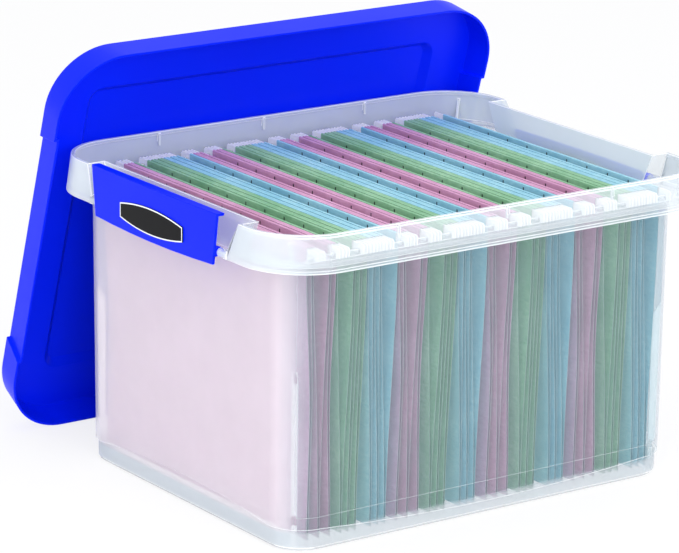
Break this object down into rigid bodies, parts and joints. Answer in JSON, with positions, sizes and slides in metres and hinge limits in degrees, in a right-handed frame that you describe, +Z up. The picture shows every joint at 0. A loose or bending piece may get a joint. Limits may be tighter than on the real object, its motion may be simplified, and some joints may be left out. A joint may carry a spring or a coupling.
{
  "type": "portable file box",
  "caption": "Clear rectangular file tub with a stepped rim, two swing latches, a lift-off lid leaning behind it, and colour-coded hanging folders on its rails.",
  "frame": {"origin": "centre of the tub's flat underside, on the surface the box stands on", "axes": "+X along the tub's long side, towards the latch that hangs open; +Y towards the leaning lid; +Z up"},
  "size_m": [0.4556, 0.4335, 0.3517],
  "materials": {
    "clear_plastic": "clear moulded polypropylene",
    "blue_plastic": "solid blue, moulded, slightly glossy",
    "latch_plastic": "solid blue, moulded, slightly glossy",
    "badge_plastic": "black field with a white border, blank",
    "pink_card": "matt coloured card",
    "green_card": "matt coloured card",
    "blue_card": "matt coloured card",
    "coated_steel": "white coated flat steel"
  },
  "bodies": {
    "tub": {"tub": "clear_plastic"},
    "lid": {"lid": "blue_plastic"},
    "left_latch": {"left_latch": "latch_plastic", "left_badge": "badge_plastic"},
    "right_latch": {"right_latch": "latch_plastic", "right_badge": "badge_plastic"},
    "pink_group_1": {"pink_folders_1": "pink_card", "pink_rods_1": "coated_steel"},
    "green_group_1": {"green_folders_1": "green_card", "green_rods_1": "coated_steel"},
    "blue_group_1": {"blue_folders_1": "blue_card", "blue_rods_1": "coated_steel"},
    "pink_group_2": {"pink_folders_2": "pink_card", "pink_rods_2": "coated_steel"},
    "green_group_2": {"green_folders_2": "green_card", "green_rods_2": "coated_steel"},
    "blue_group_2": {"blue_folders_2": "blue_card", "blue_rods_2": "coated_steel"},
    "pink_group_3": {"pink_folders_3": "pink_card", "pink_rods_3": "coated_steel"},
    "green_group_3": {"green_folders_3": "green_card", "green_rods_3": "coated_steel"},
    "blue_group_3": {"blue_folders_3": "blue_card", "blue_rods_3": "coated_steel"},
    "pink_group_4": {"pink_folders_4": "pink_card", "pink_rods_4": "coated_steel"},
    "green_group_4": {"green_folders_4": "green_card", "green_rods_4": "coated_steel"},
    "blue_group_4": {"blue_folders_4": "blue_card", "blue_rods_4": "coated_steel"}
  },
  "joints": [
    {"name": "lid_lift", "type": "slide", "parent": "tub", "child": "lid", "axis": [0, 0, 1], "range_m": [0, 0.3]},
    {"name": "left_latch_hinge", "type": "hinge", "parent": "tub", "child": "left_latch", "pos_m": [-0.2155, 0, 0.2365], "axis": [0, -1, 0], "range_deg": [0, 172]},
    {"name": "right_latch_hinge", "type": "hinge", "parent": "tub", "child": "right_latch", "pos_m": [0.2155, 0, 0.2365], "axis": [0, 1, 0], "range_deg": [-155.4, 16.6]},
    {"name": "pink_group_1_lift", "type": "slide", "parent": "tub", "child": "pink_group_1", "axis": [0, 0, 1], "range_m": [0, 0.055]},
    {"name": "green_group_1_lift", "type": "slide", "parent": "tub", "child": "green_group_1", "axis": [0, 0, 1], "range_m": [0, 0.055]},
    {"name": "blue_group_1_lift", "type": "slide", "parent": "tub", "child": "blue_group_1", "axis": [0, 0, 1], "range_m": [0, 0.055]},
    {"name": "pink_group_2_lift", "type": "slide", "parent": "tub", "child": "pink_group_2", "axis": [0, 0, 1], "range_m": [0, 0.055]},
    {"name": "green_group_2_lift", "type": "slide", "parent": "tub", "child": "green_group_2", "axis": [0, 0, 1], "range_m": [0, 0.055]},
    {"name": "blue_group_2_lift", "type": "slide", "parent": "tub", "child": "blue_group_2", "axis": [0, 0, 1], "range_m": [0, 0.055]},
    {"name": "pink_group_3_lift", "type": "slide", "parent": "tub", "child": "pink_group_3", "axis": [0, 0, 1], "range_m": [0, 0.055]},
    {"name": "green_group_3_lift", "type": "slide", "parent": "tub", "child": "green_group_3", "axis": [0, 0, 1], "range_m": [0, 0.055]},
    {"name": "blue_group_3_lift", "type": "slide", "parent": "tub", "child": "blue_group_3", "axis": [0, 0, 1], "range_m": [0, 0.055]},
    {"name": "pink_group_4_lift", "type": "slide", "parent": "tub", "child": "pink_group_4", "axis": [0, 0, 1], "range_m": [0, 0.055]},
    {"name": "green_group_4_lift", "type": "slide", "parent": "tub", "child": "green_group_4", "axis": [0, 0, 1], "range_m": [0, 0.055]},
    {"name": "blue_group_4_lift", "type": "slide", "parent": "tub", "child": "blue_group_4", "axis": [0, 0, 1], "range_m": [0, 0.055]}
  ]
}
